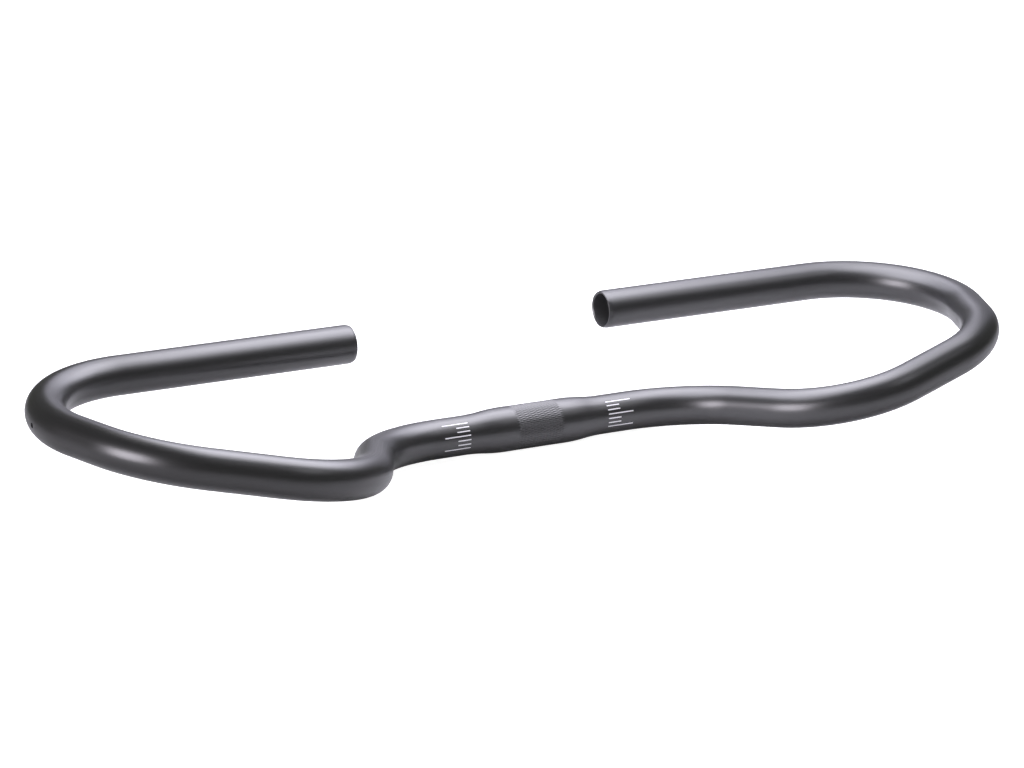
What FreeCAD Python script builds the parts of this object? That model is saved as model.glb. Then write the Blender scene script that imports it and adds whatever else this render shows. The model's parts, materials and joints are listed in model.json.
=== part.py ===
import FreeCAD, Part
import math
import os

# A trekking (butterfly) handlebar: one aluminium tube, swaged up to the stem clamp in the middle
# and bent four times a side on one die, so that both ends come back in line behind the clamp.
# Frame: origin at the clamp's centre, +X along the clamp, -Y forward, +Z up.
# Lengths are in millimetres, angles in degrees.

# Tube
BAR_DIAMETER = 22.2  # takes grips, levers and shifters of the flat-bar size
WALL = 1.8

# Middle of the bar
CLAMP_DIAMETER = 25.4
CLAMP_LENGTH = 38.0  # parallel seat for the stem
SWAGE_LENGTH = 25.0  # S-shaped taper from the clamp down to the bar, on each side
SHOULDER_RUN = 16.0  # plain straight bar between the swage and the first bend

# Bends of one side, from the clamp outwards
BEND_RADIUS = 62.5  # centreline radius of the bending die
FORWARD_BEND = 62.0  # turns the bar forward, away from the rider
FORWARD_RISE = 6.4  # tilts the plane of the forward bend up
FORWARD_RUN = 27.0
HORN_BEND = 75.0  # turns the bar out again, into the front of the loop
HORN_TWIST = 13.0  # rolls the loop's plane against that of the forward bend
HORN_RUN = 37.0
CORNER_BEND = 57.0  # starts the turn back, in the loop's plane
CORNER_RUN = 21.0
GRIP_RUN = 141.0  # straight end, parallel to the clamp

# Open ends and vents
END_LEAD = 3.0  # length over which the outside rounds off towards each mouth
END_DROP = 0.7  # how far the outside has come in at the mouth
MOUTH_CHAMFER = 0.6  # inner edge of each mouth
EDGE_SHARE = 0.85  # most of the wall that the drop and the chamfer may take together
VENT_DIAMETER = 3.0
VENT_ANGLE = 22.0  # from the start of the last bend to the vent in its outer wall

X_AXIS = FreeCAD.Vector(1, 0, 0)
Z_AXIS = FreeCAD.Vector(0, 0, 1)
CLAMP_CENTRE = FreeCAD.Vector(0, 0, 0)

bar_radius = BAR_DIAMETER / 2
clamp_radius = CLAMP_DIAMETER / 2
half_clamp = CLAMP_LENGTH / 2
swage_end = half_clamp + SWAGE_LENGTH
half_middle = swage_end + SHOULDER_RUN


def middle_skin(depth):
    """Profile of the middle's +X half, from the clamp out, that many millimetres under the surface.

    The swage is two equal arcs, tangent to the clamp, to each other and to the bar.
    """
    drop = clamp_radius - bar_radius
    arc_radius = (SWAGE_LENGTH**2 + drop**2) / (4 * drop)
    turn = math.asin(SWAGE_LENGTH / (2 * arc_radius))

    def crown(angle):
        reach = arc_radius - depth
        height = clamp_radius - arc_radius + reach * math.cos(angle)
        return FreeCAD.Vector(half_clamp + reach * math.sin(angle), 0, height)

    def root(angle):
        reach = arc_radius + depth
        height = bar_radius + arc_radius - reach * math.cos(angle)
        return FreeCAD.Vector(swage_end - reach * math.sin(angle), 0, height)

    seat_start = FreeCAD.Vector(0, 0, clamp_radius - depth)
    shoulder_end = FreeCAD.Vector(half_middle, 0, bar_radius - depth)
    return [
        Part.LineSegment(seat_start, crown(0)).toShape(),
        Part.Arc(crown(0), crown(turn / 2), crown(turn)).toShape(),
        Part.Arc(root(turn), root(turn / 2), root(0)).toShape(),
        Part.LineSegment(root(0), shoulder_end).toShape(),
    ]


def middle_half():
    """Clamp seat, swage and shoulder on the +X side, turned about the clamp's axis."""
    outside = middle_skin(0)
    inside = middle_skin(WALL)
    inside.reverse()
    clamp_cut = Part.makeLine((0, 0, clamp_radius), (0, 0, clamp_radius - WALL))
    shoulder_cut = Part.makeLine((half_middle, 0, bar_radius), (half_middle, 0, bar_radius - WALL))
    profile = Part.Wire(outside + [shoulder_cut] + inside + [clamp_cut])
    return Part.Face(profile).revolve(CLAMP_CENTRE, X_AXIS, 360)


def turned(vector, axis, angle):
    """The vector turned about an axis through the origin."""
    return FreeCAD.Rotation(axis, angle).multVec(vector)


def bend(section, heading, pole, angle):
    """Carry the tube's section round one bend; a positive angle turns left about the pole."""
    side = pole.cross(heading) * math.copysign(1, angle)
    centre = section.CenterOfMass + side * BEND_RADIUS
    piece = section.revolve(centre, pole, angle)
    return piece, section.rotated(centre, pole, angle), turned(heading, pole, angle)


def vent_drill(section, heading, pole):
    """Drill for the vent, from the tube's centreline out through the wall on the outside of a left bend."""
    inward = pole.cross(heading)
    centre = section.CenterOfMass + inward * BEND_RADIUS
    outward = turned(-inward, pole, VENT_ANGLE)
    return Part.makeCylinder(VENT_DIAMETER / 2, BAR_DIAMETER, centre + outward * BEND_RADIUS, outward)


def open_end(section, heading):
    """The straight grip run, turned about its axis: its outside rounds off to a mouth with a chamfered bore."""
    start = section.CenterOfMass
    bore_radius = bar_radius - WALL
    ease = min(1, EDGE_SHARE * WALL / (END_DROP + MOUTH_CHAMFER))
    drop = END_DROP * ease
    chamfer = MOUTH_CHAMFER * ease
    arc_radius = (END_LEAD**2 + drop**2) / (2 * drop)
    turn = math.asin(END_LEAD / arc_radius)

    def at(run, radius):
        return start + heading * run + Z_AXIS * radius

    def lead(angle):
        run = GRIP_RUN - END_LEAD + arc_radius * math.sin(angle)
        return at(run, bar_radius - arc_radius * (1 - math.cos(angle)))

    corners = [
        lead(turn),
        at(GRIP_RUN, bore_radius + chamfer),
        at(GRIP_RUN - chamfer, bore_radius),
        at(0, bore_radius),
        at(0, bar_radius),
        lead(0),
    ]
    sides = [Part.makeLine(first, second) for first, second in zip(corners, corners[1:])]
    rounding = Part.Arc(lead(0), lead(turn / 2), lead(turn)).toShape()
    return Part.Face(Part.Wire(sides + [rounding])).revolve(start, heading, 360)


def right_side(section):
    """Pieces of the bar from the shoulder's end to the right mouth, and the vent's drill."""
    heading = X_AXIS
    pole = Z_AXIS
    pieces = []
    bends = [
        (-FORWARD_BEND, -FORWARD_RISE, FORWARD_RUN),
        (HORN_BEND, HORN_TWIST, HORN_RUN),
        (CORNER_BEND, 0, CORNER_RUN),
    ]
    for angle, roll, run in bends:
        pole = turned(pole, heading, roll)
        piece, section, heading = bend(section, heading, pole, angle)
        pieces += [piece, section.extrude(heading * run)]
        section = section.translated(heading * run)

    # The last bend brings the bar parallel to the clamp
    pole = heading.cross(-X_AXIS).normalize()
    last_bend = math.degrees(heading.getAngle(-X_AXIS))
    drill = vent_drill(section, heading, pole)
    piece, section, heading = bend(section, heading, pole, last_bend)
    return pieces + [piece, open_end(section, heading)], drill


def handlebar():
    """Both halves of the bar, mirrored about the clamp's middle and joined to one tube."""
    middle = middle_half()
    section = max(middle.Faces, key=lambda face: face.CenterOfMass.x)
    side, drill = right_side(section)
    half = middle.multiFuse(side).cut(drill)
    return half.fuse(half.mirror(CLAMP_CENTRE, X_AXIS)).removeSplitter().Solids[0]


os.makedirs("parts", exist_ok=True)
bar = handlebar()
bar.exportStep("parts/handlebar.step")
print("handlebar valid", bar.isValid(), "volume", round(bar.Volume), "mm3", bar.optimalBoundingBox())
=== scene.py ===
import json
import math

import bpy
import numpy as np
from mathutils import Matrix, Vector


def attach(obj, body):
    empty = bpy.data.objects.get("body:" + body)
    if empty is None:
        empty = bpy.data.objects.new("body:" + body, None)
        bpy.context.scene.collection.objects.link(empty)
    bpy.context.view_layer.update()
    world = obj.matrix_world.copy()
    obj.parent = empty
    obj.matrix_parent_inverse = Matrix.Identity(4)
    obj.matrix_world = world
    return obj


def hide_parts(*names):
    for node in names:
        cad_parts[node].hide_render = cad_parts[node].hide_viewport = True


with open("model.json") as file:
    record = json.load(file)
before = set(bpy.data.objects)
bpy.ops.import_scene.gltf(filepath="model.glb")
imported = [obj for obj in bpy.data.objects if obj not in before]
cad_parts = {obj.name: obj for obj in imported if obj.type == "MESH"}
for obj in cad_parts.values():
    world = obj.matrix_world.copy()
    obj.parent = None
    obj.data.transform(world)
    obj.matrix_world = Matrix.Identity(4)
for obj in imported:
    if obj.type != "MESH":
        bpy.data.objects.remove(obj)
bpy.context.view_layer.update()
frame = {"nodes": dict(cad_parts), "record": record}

print("frame loaded, nodes:", ", ".join(sorted(frame["nodes"])))

# A trekking handlebar: one satin black tube with a knurled clamp, bent four times a side.
# Metres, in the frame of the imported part: +X along the clamp, -Y forward, +Z up.

mm = 0.001
mountSizes = {mount["name"]: mount["dims"] for mount in frame["record"]["mounts"]}

bar = {
    "clampRadius": mountSizes["stem_clamp"]["r_mm"] * mm,
    "clampLength": mountSizes["stem_clamp"]["length_mm"] * mm,
    "tubeRadius": mountSizes["right_grip"]["r_mm"] * mm,
    "boreRadius": mountSizes["right_end_bore"]["r_mm"] * mm,
    "swageLength": 25 * mm,
    "shoulderRun": 16 * mm,
    "bendRadius": 62.5 * mm,
    # each bend: degrees turned, degrees rolled before it, straight run after it
    "bends": [(-62, -6.4, 27 * mm), (75, 13, 37 * mm), (57, 0, 21 * mm)],
    "gripRun": 141 * mm,
    "endLead": 3.0 * mm,  # length over which the outside rounds off towards a mouth
    "endDrop": 0.7 * mm,  # how far it has come in at the mouth
    "lipRound": 0.2 * mm,  # the mouth's outer edge
    "mouthChamfer": 0.6 * mm,
    "ventRadius": 1.5 * mm,
    "ventTurn": 22,  # degrees from the start of the last bend, in its outer wall
}

knurl = {
    "length": 32 * mm,
    "runOut": 3.0 * mm,  # the pattern fades out at each end
    "diamonds": 56,  # round the clamp
    "periods": 8,  # along the clamp
    "cells": 8,  # mesh cells to one diamond, each way
    "depth": 0.18 * mm,
    "margin": 1 * mm,  # plain ring between the knurling and the first ring of the tube
}

grid = {
    "columns": 112,  # round the tube
    "outside": {"bendStep": 3, "straightStep": 8 * mm, "swageStep": 1.25 * mm},
    "bore": {"bendStep": 6, "straightStep": 20 * mm, "swageStep": 2.5 * mm},
    "leadSteps": 6,
    "lipSteps": 4,
    "ventCell": 0.6 * mm,  # ring spacing at a vent
    "ventRings": [-9, -6.5, -5, -4, -3, -2, -1, 0, 1, 2, 3, 4, 5, 6.5, 9],  # in vent cells
    "ventCells": 3,  # from a vent's middle to its rim
    "ventReach": 3.6,  # how far round a vent the cells are drawn in, in rims
    "sharpEdge": 22,  # degrees
}

tickScale = {
    "facing": 163,  # degrees from +Y over +Z
    "longTick": 16 * mm,  # from the end of the swage outwards
    "shortTick": 8 * mm,
    "ticksEachWay": 3,
    "columnsApart": 4,
}

swageStart = bar["clampLength"] / 2
swageEnd = swageStart + bar["swageLength"]
wall = bar["tubeRadius"] - bar["boreRadius"]
columnAngle = 2 * math.pi / grid["columns"]
ventHalf = grid["ventCells"] * grid["ventCell"]


def turned(vector, axis, angle):
    # v cos + (axis x v) sin + axis (axis . v) (1 - cos), for one vector and any number of angles
    cosine = np.cos(angle)[..., None]
    sine = np.sin(angle)[..., None]
    return vector * cosine + np.cross(axis, vector) * sine + axis * (axis @ vector) * (1 - cosine)


def alongLeg(leg, distance):
    # a straight leg carries its first frame along the heading, an arc turns it about its pole
    heading = leg["axes"][0]
    if leg["curvature"] == 0:
        point = leg["point"] + distance[..., None] * heading
        return point, [np.broadcast_to(axis, point.shape) for axis in leg["axes"]]
    angle = distance * leg["curvature"]
    centre = leg["point"] + np.cross(leg["pole"], heading) / leg["curvature"]
    point = centre + turned(leg["point"] - centre, leg["pole"], angle)
    return point, [turned(axis, leg["pole"], angle) for axis in leg["axes"]]


def bendRoute():
    # right side from the clamp's middle to the mouth: straight runs and arcs, each tangent to the last
    legs = []

    def addLeg(length, curvature, pole):
        start = 0.0
        point = np.zeros(3)
        axes = list(np.eye(3))  # heading, side, lift
        if legs:
            start = legs[-1]["end"]
            point, axes = alongLeg(legs[-1], np.array(start - legs[-1]["start"]))
        legs.append({"start": start, "end": start + length, "point": point, "axes": axes,
                     "pole": pole, "curvature": curvature})

    def headingNow():
        return alongLeg(legs[-1], np.array(legs[-1]["end"] - legs[-1]["start"]))[1][0]

    radius = bar["bendRadius"]
    pole = np.array([0.0, 0.0, 1.0])
    addLeg(swageEnd + bar["shoulderRun"], 0, pole)
    for turn, roll, run in bar["bends"]:
        pole = turned(pole, headingNow(), np.radians(roll))
        addLeg(radius * math.radians(abs(turn)), math.copysign(1 / radius, turn), pole)
        addLeg(run, 0, pole)
    inward = np.array([-1.0, 0.0, 0.0])  # the last bend brings the tube parallel to the clamp
    pole = np.cross(headingNow(), inward)
    pole = pole / np.linalg.norm(pole)
    addLeg(radius * math.acos(headingNow() @ inward), 1 / radius, pole)
    addLeg(bar["gripRun"], 0, pole)
    return legs


legs = bendRoute()
lastBend = legs[-2]
mouth = legs[-1]["end"]
ventStation = lastBend["start"] + math.radians(bar["ventTurn"]) * bar["bendRadius"]
print("route: %d legs a side, %.1f mm from the middle to a mouth" % (len(legs), mouth / mm))


def routeFrames(stations):
    # centreline point, side and lift at any stations; a negative station is the mirror image in X
    reach = np.clip(np.abs(stations), 0, mouth)
    point, side, lift = np.zeros((3,) + stations.shape + (3,))
    for leg in legs:
        inside = (reach >= leg["start"]) & (reach <= leg["end"])
        point[inside], axes = alongLeg(leg, reach[inside] - leg["start"])
        side[inside], lift[inside] = axes[1:]
    mirror = np.ones(stations.shape + (3,))
    mirror[..., 0] = np.where(stations < 0, -1, 1)
    return point * mirror, side * mirror, lift * mirror


def tubePoints(stations, radius, angle):
    # centre + radius (side cos angle + lift sin angle), and where that point was before the tube was bent
    point, side, lift = routeFrames(stations)
    across = radius * np.cos(angle)
    upward = radius * np.sin(angle)
    bent = point + side * across[..., None] + lift * upward[..., None]
    return bent, np.stack([stations, across, upward], axis=-1)


def skinRadius(stations, depth):
    # the clamp's radius, then an S of two equal tangent arcs down to the tube, offset inwards by depth
    drop = bar["clampRadius"] - bar["tubeRadius"]
    arc = (bar["swageLength"] ** 2 + drop**2) / (4 * drop)
    sine = bar["swageLength"] / (2 * arc)
    crownReach = arc - depth
    rootReach = arc + depth
    crownRun = np.abs(stations) - swageStart
    onCrown = np.clip(crownRun, 0, crownReach * sine)
    onRoot = np.clip(swageEnd - np.abs(stations), 0, rootReach * sine)
    crown = bar["clampRadius"] - arc + np.sqrt(crownReach**2 - onCrown**2)
    root = bar["tubeRadius"] + arc - np.sqrt(rootReach**2 - onRoot**2)
    return np.where(crownRun < crownReach * sine, crown, root)


def ringStations(steps, first, last):
    # rings of both sides, left to right: even steps in each leg, close ones in the swage and at the vents
    def spaced(start, end, step):
        # a hair is taken off the count, so that rounding adds no step
        return np.linspace(start, end, math.ceil((end - start) / step - 0.001) + 1)

    rings = [
        spaced(0, swageStart, steps["straightStep"]),
        spaced(swageStart, swageEnd, steps["swageStep"]),
        spaced(swageEnd, legs[0]["end"], steps["straightStep"]),
    ]
    bendStep = math.radians(steps["bendStep"]) * bar["bendRadius"]
    for leg in legs[1:]:
        step = bendStep if leg["curvature"] else steps["straightStep"]
        rings.append(spaced(leg["start"], leg["end"], step))
    rings = np.concatenate(rings)
    ventRings = ventStation + grid["ventCell"] * np.array(grid["ventRings"])
    clear = (rings < ventRings[0] - grid["ventCell"]) | (rings > ventRings[-1] + grid["ventCell"])
    rings = np.concatenate([rings[clear], ventRings])
    rings = np.concatenate([rings[(rings > first) & (rings < last)], [first, last]])

    # rounded to a tenth of a micrometre, so that a ring shared by two legs counts once
    return np.unique(np.round(np.concatenate([-rings, rings]), 7))


def ventDirection():
    # angle round the tube that points straight away from the last bend's centre
    side, lift = routeFrames(np.array([ventStation]))[1:]
    heading = turned(lastBend["axes"][0], lastBend["pole"], np.radians(bar["ventTurn"]))
    outward = -np.cross(lastBend["pole"], heading)
    return math.atan2(lift[0] @ outward, side[0] @ outward)


def drawnIn(stations, radius, angle):
    # near a vent, square rings of cells shrink to circles: the ring at 1 becomes the vent's rim
    stretch = 1 + radius / bar["bendRadius"]
    along = (np.abs(stations) - ventStation) * stretch
    across = angle * radius
    squareAlong = along / (ventHalf * stretch)
    squareAcross = across / (grid["ventCells"] * columnAngle * radius)
    square = np.maximum(np.abs(squareAlong), np.abs(squareAcross))
    toCircle = bar["ventRadius"] * square / np.maximum(np.hypot(squareAlong, squareAcross), 1e-9)
    share = np.clip((grid["ventReach"] - square) / (grid["ventReach"] - 1), 0, 1)
    share = share * share * (3 - 2 * share)
    along = along + share * (squareAlong * toCircle - along)
    across = across + share * (squareAcross * toCircle - across)
    return np.sign(stations) * (ventStation + along / stretch), across / radius


def lipProfile():
    # a wide arc tangent to the tube, a small one on to the mouth's face, then the bore's chamfer
    small = bar["lipRound"]
    wide = (bar["endLead"] ** 2 + bar["endDrop"] ** 2) / (2 * bar["endDrop"])
    meet = math.asin((bar["endLead"] - small) / (wide - small))
    wideTurn = np.linspace(0, meet, grid["leadSteps"] + 1)[1:]
    smallTurn = np.linspace(meet, math.pi / 2, grid["lipSteps"] + 1)[1:]
    smallCentre = bar["tubeRadius"] - wide + (wide - small) * math.cos(meet)
    station = np.concatenate([
        mouth - bar["endLead"] + wide * np.sin(wideTurn),
        mouth - small + small * np.sin(smallTurn),
        [mouth],
    ])
    radius = np.concatenate([
        bar["tubeRadius"] - wide + wide * np.cos(wideTurn),
        smallCentre + small * np.cos(smallTurn),
        [bar["boreRadius"] + bar["mouthChamfer"]],
    ])
    return station, radius


def tubeGrid():
    # closed profile carried along the route: outside, right lip, bore, left lip
    outside = ringStations(grid["outside"], knurl["length"] / 2 + knurl["margin"], mouth - bar["endLead"])
    bore = ringStations(grid["bore"], 0, mouth - bar["mouthChamfer"])[::-1]
    lipStation, lipRadius = lipProfile()
    stations = np.concatenate([outside, lipStation, bore, -lipStation[::-1]])
    radius = np.concatenate([skinRadius(outside, 0), lipRadius, skinRadius(bore, wall), lipRadius[::-1]])

    # columns count from the vent, both ways
    columns = np.arange(grid["columns"])
    columns = np.where(columns < grid["columns"] / 2, columns, columns - grid["columns"])
    stationGrid, angleGrid = np.meshgrid(stations, columns * columnAngle, indexing="ij")
    radiusGrid = np.broadcast_to(radius[:, None], stationGrid.shape)
    nearVent = np.abs(np.abs(stations) - ventStation) < grid["ventReach"] * ventHalf
    stationGrid[nearVent], angleGrid[nearVent] = drawnIn(
        stationGrid[nearVent], radiusGrid[nearVent], angleGrid[nearVent])
    bent, straight = tubePoints(stationGrid, radiusGrid, angleGrid + ventDirection())
    return stations, len(outside), len(lipStation), bent, straight


def knurlBand(firstVertex):
    # diamonds: at row i and column j the height is the lower of two ridges, one in i + j and one in j - i
    rows = np.arange(knurl["periods"] * knurl["cells"] + 1)
    columns = np.arange(knurl["diamonds"] * knurl["cells"])

    def height(row, column):
        def ridge(count):
            return 1 - np.abs(2 * (count / knurl["cells"] % 1) - 1)

        return np.minimum(ridge(row + column), ridge(column - row))

    row, column = np.meshgrid(rows, columns, indexing="ij")
    stations = (row / rows[-1] - 0.5) * knurl["length"]
    level = height(row, column)
    cut = np.clip((knurl["length"] / 2 - np.abs(stations)) / knurl["runOut"], 0, 1)
    radius = bar["clampRadius"] - knurl["depth"] * cut * (1 - level)
    angle = column / len(columns) * 2 * math.pi + ventDirection()
    bent, straight = tubePoints(stations, radius, angle)

    # each cell is split along the diagonal that lies closer to the ridge through its middle
    vertex = firstVertex + np.arange(level.size).reshape(level.shape)
    after = np.roll(vertex, -1, axis=1)
    levelAfter = np.roll(level, -1, axis=1)
    a, b, c, d = vertex[:-1], after[:-1], after[1:], vertex[1:]
    middle = height(row[:-1] + 0.5, column[:-1] + 0.5)
    acrossOne = np.abs((level[:-1] + levelAfter[1:]) / 2 - middle)
    acrossTwo = np.abs((levelAfter[:-1] + level[1:]) / 2 - middle)
    one = (acrossOne <= acrossTwo)[..., None]
    halfOne = np.where(one, np.stack([a, b, c], -1), np.stack([a, b, d], -1))
    halfTwo = np.where(one, np.stack([a, c, d], -1), np.stack([b, c, d], -1))
    triangles = np.concatenate([halfOne.reshape(-1, 3), halfTwo.reshape(-1, 3)])
    return vertex, bent, straight, triangles


def stitches(ring, fine, fineFirst):
    # one face from each column of a ring to the several columns of the knurling beside it
    share = len(fine) // len(ring)
    steps = np.arange(len(ring))[:, None] * share + np.arange(share + 1)
    fineSide = fine[steps % len(fine)]
    ringSide = np.stack([ring, np.roll(ring, -1)], -1)
    if fineFirst:
        return np.concatenate([fineSide, ringSide[:, ::-1]], 1)
    return np.concatenate([ringSide, fineSide[:, ::-1]], 1)


def ventRim(stations, vertex, centre):
    # corners of the cell block that a vent takes out, once round, as a list of vertices
    reach = grid["ventCells"]
    offsets = grid["ventCell"] * np.arange(-reach, reach + 1)
    rings = np.argmin(np.abs(stations[:, None] - centre - offsets), axis=0)
    steps = np.arange(-reach, reach)
    low = np.full(2 * reach, -reach)
    row = np.concatenate([low, steps, -low, -steps])
    column = np.concatenate([steps, -low, -steps, low])
    return vertex[rings[row + reach], column % grid["columns"]]


def handlebarMesh():
    # cells between neighbouring rings and columns; the knurled band and the vents' walls are joined in
    stations, outsideCount, lipCount, bent, straight = tubeGrid()
    vertex = np.arange(len(stations) * grid["columns"]).reshape(len(stations), grid["columns"])
    after = np.roll(vertex, -1, axis=1)
    quads = np.stack([vertex, after, np.roll(after, -1, axis=0), np.roll(vertex, -1, axis=0)], -1)
    ringMiddle = (stations + np.roll(stations, -1)) / 2
    boreStart = outsideCount + lipCount
    inBore = np.zeros(len(stations), bool)
    inBore[boreStart:len(stations) - lipCount - 1] = True

    # finish of each cell: 0 satin outside and on the lips, 1 plain bore, 2 white ticks on both shoulders
    finish = np.where(inBore, 1, 0)[:, None] * np.ones(grid["columns"], int)
    middleColumn = round((math.radians(tickScale["facing"]) - ventDirection()) / columnAngle)
    for tick in range(-tickScale["ticksEachWay"], tickScale["ticksEachWay"] + 1):
        isLong = tick % tickScale["ticksEachWay"] == 0
        length = tickScale["longTick"] if isLong else tickScale["shortTick"]
        onTick = (np.abs(ringMiddle) > swageEnd) & (np.abs(ringMiddle) < swageEnd + length) & ~inBore
        finish[onTick, (middleColumn + tick * tickScale["columnsApart"]) % grid["columns"]] = 2

    # cells that the vents and the knurling take out
    kept = np.ones(finish.shape, bool)
    kept[outsideCount // 2 - 1] = False
    ventColumns = np.arange(-grid["ventCells"], grid["ventCells"])
    ventRows = np.nonzero(np.abs(np.abs(ringMiddle) - ventStation) < ventHalf)[0]
    kept[np.ix_(ventRows, ventColumns)] = False

    walls = []
    for centre in (ventStation, -ventStation):
        rim = ventRim(stations[:outsideCount], vertex[:outsideCount], centre)
        inner = ventRim(stations[boreStart:-lipCount], vertex[boreStart:-lipCount], centre)
        walls.append(np.stack([rim, np.roll(rim, -1), np.roll(inner, -1), inner], -1))
    walls = np.concatenate(walls)

    band, bandBent, bandStraight, triangles = knurlBand(vertex.size)
    seams = np.concatenate([
        stitches(vertex[outsideCount // 2 - 1], band[0], False),
        stitches(vertex[outsideCount // 2], band[-1], True),
    ])
    faces = [quads[kept], walls, seams, triangles]
    finishes = np.concatenate([finish[kept], np.zeros(len(walls) + len(seams) + len(triangles), int)])
    points = np.concatenate([bent.reshape(-1, 3), bandBent.reshape(-1, 3)])
    unbent = np.concatenate([straight.reshape(-1, 3), bandStraight.reshape(-1, 3)])

    # vertices inside the vents belong to no face and go
    used = np.unique(np.concatenate([part.ravel() for part in faces]))
    renumber = np.zeros(len(points), int)
    renumber[used] = np.arange(len(used))
    faceList = [face for part in faces for face in renumber[part].tolist()]

    made = bpy.data.meshes.new("handlebarTube")
    made.from_pydata(points[used], [], faceList)
    made.polygons.foreach_set("material_index", finishes)
    flow = made.attributes.new("straightTube", "FLOAT_VECTOR", "POINT")
    flow.data.foreach_set("vector", unbent[used].astype(np.float32).ravel())
    made.shade_smooth()
    made.set_sharp_from_angle(angle=math.radians(grid["sharpEdge"]))
    made.update()
    return made


def addNode(tree, kind, sockets=None, **settings):
    # a shader node with its settings, and each socket linked or set
    made = tree.nodes.new("ShaderNode" + kind)
    for name, value in settings.items():
        setattr(made, name, value)
    for name, value in (sockets or {}).items():
        if isinstance(value, bpy.types.NodeSocket):
            tree.links.new(value, made.inputs[name])
        else:
            made.inputs[name].default_value = value
    return made


def newTree(owner):
    # an empty node tree for a material or a world
    owner.use_nodes = True
    owner.node_tree.nodes.clear()
    return owner.node_tree


def drawnTubeGroup():
    # masks that follow the tube: fine grain, lines drawn out along it, and broad clouds
    group = bpy.data.node_groups.new("drawnTube", "ShaderNodeTree")
    for name, value in (("Grain Scale", 3000.0), ("Line Scale", 900.0), ("Line Stretch", 40.0)):
        socket = group.interface.new_socket(name, in_out="INPUT", socket_type="NodeSocketFloat")
        socket.default_value = value
    for name in ("Grain", "Lines", "Cloud"):
        group.interface.new_socket(name, in_out="OUTPUT", socket_type="NodeSocketFloat")
    given = group.nodes.new("NodeGroupInput").outputs
    flow = addNode(group, "Attribute", attribute_name="straightTube").outputs["Vector"]
    shrink = addNode(group, "Math", {0: 1.0, 1: given["Line Stretch"]}, operation="DIVIDE").outputs[0]
    stretch = addNode(group, "CombineXYZ", {"X": shrink, "Y": 1.0, "Z": 1.0}).outputs[0]
    drawn = addNode(group, "VectorMath", {0: flow, 1: stretch}, operation="MULTIPLY").outputs[0]
    grain = addNode(group, "TexNoise", {"Vector": flow, "Scale": given["Grain Scale"], "Detail": 3.0})
    lines = addNode(group, "TexNoise", {"Vector": drawn, "Scale": given["Line Scale"], "Detail": 2.0})
    cloud = addNode(group, "TexNoise", {"Vector": flow, "Scale": 45.0, "Detail": 3.0})
    result = group.nodes.new("NodeGroupOutput")
    for name, texture in (("Grain", grain), ("Lines", lines), ("Cloud", cloud)):
        group.links.new(texture.outputs[0], result.inputs[name])
    return group


satinBlack = {
    "name": "satinBlack", "deep": (0.0105, 0.0105, 0.0115), "pale": (0.0155, 0.0155, 0.0165),
    "smooth": 0.30, "rough": 0.39, "ior": 1.75,
    "grainScale": 3200.0, "lineScale": 900.0, "grainHeight": 0.010 * mm, "lineHeight": 0.004 * mm,
}
boreBlack = {
    "name": "boreBlack", "deep": (0.034, 0.034, 0.035), "pale": (0.056, 0.056, 0.057),
    "smooth": 0.60, "rough": 0.80, "ior": 1.35,
    "grainScale": 1800.0, "lineScale": 700.0, "grainHeight": 0.02 * mm, "lineHeight": 0.03 * mm,
}
scaleWhite = {
    "name": "scaleWhite", "deep": (0.74, 0.74, 0.76), "pale": (0.84, 0.84, 0.86),
    "smooth": 0.40, "rough": 0.52, "ior": 1.5,
    "grainScale": 3200.0, "lineScale": 900.0, "grainHeight": 0.008 * mm, "lineHeight": 0.002 * mm,
}


def tubeFinish(finish, group):
    # cloud picks between two tones, grain and lines set the roughness and a fine relief
    material = bpy.data.materials.new(finish["name"])
    tree = newTree(material)
    scales = {"Grain Scale": finish["grainScale"], "Line Scale": finish["lineScale"]}
    masks = addNode(tree, "Group", scales, node_tree=group).outputs
    tone = addNode(tree, "Mix", {0: masks["Cloud"], 6: finish["deep"] + (1,), 7: finish["pale"] + (1,)},
                   data_type="RGBA")
    mixed = addNode(tree, "Math", {0: masks["Grain"], 1: masks["Lines"]}, operation="ADD").outputs[0]
    rough = addNode(tree, "MapRange", {"Value": mixed, "From Min": 0.6, "From Max": 1.4,
                                       "To Min": finish["smooth"], "To Max": finish["rough"]})
    fine = addNode(tree, "Bump", {"Height": masks["Grain"], "Distance": finish["grainHeight"]})
    drawn = addNode(tree, "Bump", {"Height": masks["Lines"], "Distance": finish["lineHeight"],
                                   "Normal": fine.outputs[0]})
    shader = addNode(tree, "BsdfPrincipled", {
        "Base Color": tone.outputs[2], "Roughness": rough.outputs[0], "IOR": finish["ior"],
        "Normal": drawn.outputs[0],
    })
    addNode(tree, "OutputMaterial", {"Surface": shader.outputs[0]})
    return material


handlebar = bpy.data.objects.new("handlebar_tube", handlebarMesh())
bpy.context.scene.collection.objects.link(handlebar)
drawnTube = drawnTubeGroup()
for finish in (satinBlack, boreBlack, scaleWhite):
    handlebar.data.materials.append(tubeFinish(finish, drawnTube))
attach(handlebar, "root")
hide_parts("handlebar")
print("tube: %d vertices, %d faces" % (len(handlebar.data.vertices), len(handlebar.data.polygons)))

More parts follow.
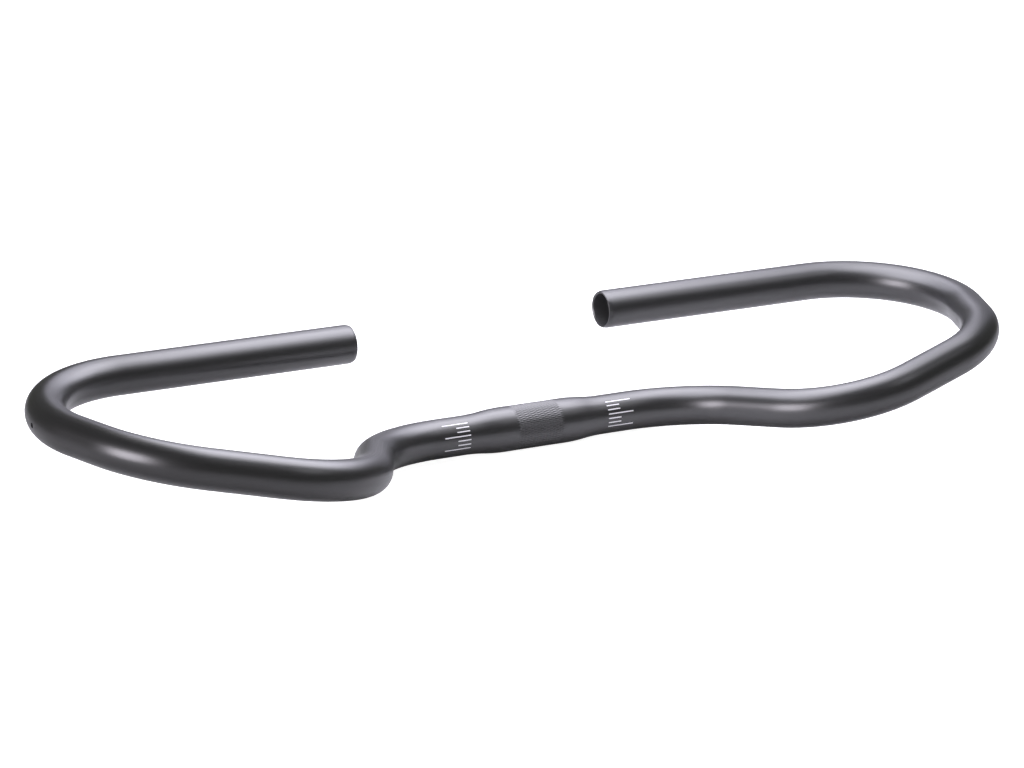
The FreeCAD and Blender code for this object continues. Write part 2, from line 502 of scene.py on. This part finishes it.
table = {
    "centre": (-0.065, 0.076), "size": (3.0, 3.0),
    "height": -bar["clampRadius"] - 0.1 * mm,  # just clear of the clamp
    "colour": 0.61,
    "seenLift": 0.95,  # glow added where the camera sees the table
    "mirrorLift": 0.05,  # glow added where the bar mirrors it
}
softboxes = {  # metres; each box aims at a point on or near the table
    "overhead": {"centre": (0.224, 0.264, 0.405), "aim": (0.224, 0.264, 0), "size": (0.62, 0.64),
                 "radiance": 3.2, "colour": (0.88, 0.87, 1)},
    "overheadHeart": {"centre": (0.083, 0.049, 0.395), "aim": (0.083, 0.049, 0), "size": (0.47, 0.40),
                      "radiance": 3.75, "colour": (0.92, 0.905, 1)},
    "frontLeft": {"centre": (-3.75, -1.07, 0.90), "aim": (0, 0, 0), "size": (2.29, 2.45),
                  "radiance": 9.75, "colour": (0.955, 0.91, 1)},
    "frontRight": {"centre": (1.95, -1.95, 2.90), "aim": (0, 0, 0), "size": (1.46, 1.20),
                   "radiance": 1.72, "colour": (0.945, 0.93, 1)},
    "backWall": {"centre": (2.40, 2.86, 1.43), "aim": (0, 0, 0), "size": (2.91, 3.07),
                 "radiance": 0.44, "colour": (0.83, 0.805, 1)},
    "ceiling": {"centre": (1.34, 1.13, 3.60), "aim": (0, 0, 0), "size": (3.90, 2.00),
                "radiance": 1.02, "colour": (1, 0.965, 0.99)},
}
studio = {"dim": (0.114, 0.116, 0.101), "white": (1, 1, 1)}


def paleTable():
    # a diffuse table that keeps the shadow, lifted to white for the camera and a little for mirror images
    x, y = table["centre"]
    halfX, halfY = table["size"][0] / 2, table["size"][1] / 2
    z = table["height"]
    made = bpy.data.meshes.new("paleTable")
    made.from_pydata([(x - halfX, y - halfY, z), (x + halfX, y - halfY, z),
                      (x + halfX, y + halfY, z), (x - halfX, y + halfY, z)], [], [(0, 1, 2, 3)])
    material = bpy.data.materials.new("paleTable")
    tree = newTree(material)
    path = addNode(tree, "LightPath").outputs
    seen = addNode(tree, "Math", {0: path["Is Camera Ray"], 1: table["seenLift"]}, operation="MULTIPLY")
    lift = addNode(tree, "Math", {0: path["Is Glossy Ray"], 1: table["mirrorLift"], 2: seen.outputs[0]},
                   operation="MULTIPLY_ADD")
    glow = addNode(tree, "Emission", {"Color": studio["white"] + (1,), "Strength": lift.outputs[0]})
    matt = addNode(tree, "BsdfDiffuse", {"Color": (table["colour"],) * 3 + (1,)})
    both = addNode(tree, "AddShader", {0: matt.outputs[0], 1: glow.outputs[0]})
    addNode(tree, "OutputMaterial", {"Surface": both.outputs[0]})
    made.materials.append(material)
    floor = bpy.data.objects.new("pale_table", made)
    bpy.context.scene.collection.objects.link(floor)


def softbox(name, lamp):
    # power that gives the wanted radiance: pi times radiance times area
    light = bpy.data.lights.new(name, "AREA")
    light.shape = "RECTANGLE"
    light.size, light.size_y = lamp["size"]
    light.energy = math.pi * lamp["radiance"] * lamp["size"][0] * lamp["size"][1]
    light.color = lamp["colour"]
    holder = bpy.data.objects.new(name, light)
    holder.location = lamp["centre"]
    holder.rotation_mode = "QUATERNION"
    holder.rotation_quaternion = (Vector(lamp["aim"]) - Vector(lamp["centre"])).to_track_quat("-Z", "Y")
    holder.visible_camera = False
    bpy.context.scene.collection.objects.link(holder)


def studioWorld():
    # white where the camera looks past the table, dim for the bar's light and mirror images
    world = bpy.data.worlds.new("studio")
    tree = newTree(world)
    path = addNode(tree, "LightPath").outputs
    seen = addNode(tree, "Math", {0: path["Is Camera Ray"], 1: path["Is Transmission Ray"]},
                   operation="MAXIMUM")
    dim = addNode(tree, "Background", {"Color": studio["dim"] + (1,)})
    white = addNode(tree, "Background", {"Color": studio["white"] + (1,)})
    mixed = addNode(tree, "MixShader", {0: seen.outputs[0], 1: dim.outputs[0], 2: white.outputs[0]})
    addNode(tree, "OutputWorld", {"Surface": mixed.outputs[0]})
    bpy.context.scene.world = world


paleTable()
for name, lamp in softboxes.items():
    softbox(name, lamp)
studioWorld()
print("table, %d softboxes and the studio are set" % len(softboxes))

view = {"azimuth": -28.613, "elevation": 15.175, "roll": -0.118, "distance": 2.1387,
        "target": (-0.0123, 0.0, 0.0254), "focalPixels": 3835.8, "imageWidth": 1024, "sensor": 36}


def photoCamera():
    # looks at the target from its azimuth and elevation; the focal length in pixels gives the lens
    azimuth, elevation, roll = (math.radians(view[name]) for name in ("azimuth", "elevation", "roll"))
    back = Vector((math.sin(azimuth) * math.cos(elevation), -math.cos(azimuth) * math.cos(elevation),
                   math.sin(elevation)))
    level = Vector((math.cos(azimuth), math.sin(azimuth), 0))
    upright = back.cross(level)
    right = level * math.cos(roll) + upright * math.sin(roll)
    up = upright * math.cos(roll) - level * math.sin(roll)
    data = bpy.data.cameras.new("photoCamera")
    data.sensor_width = view["sensor"]
    data.lens = view["focalPixels"] * view["sensor"] / view["imageWidth"]
    camera = bpy.data.objects.new("photoCamera", data)
    turn = Matrix((right, up, back)).transposed().to_4x4()
    camera.matrix_world = Matrix.Translation(Vector(view["target"]) + back * view["distance"]) @ turn
    bpy.context.scene.collection.objects.link(camera)
    bpy.context.scene.camera = camera


photoCamera()
bpy.context.scene.view_settings.view_transform = "Standard"
print("camera set")
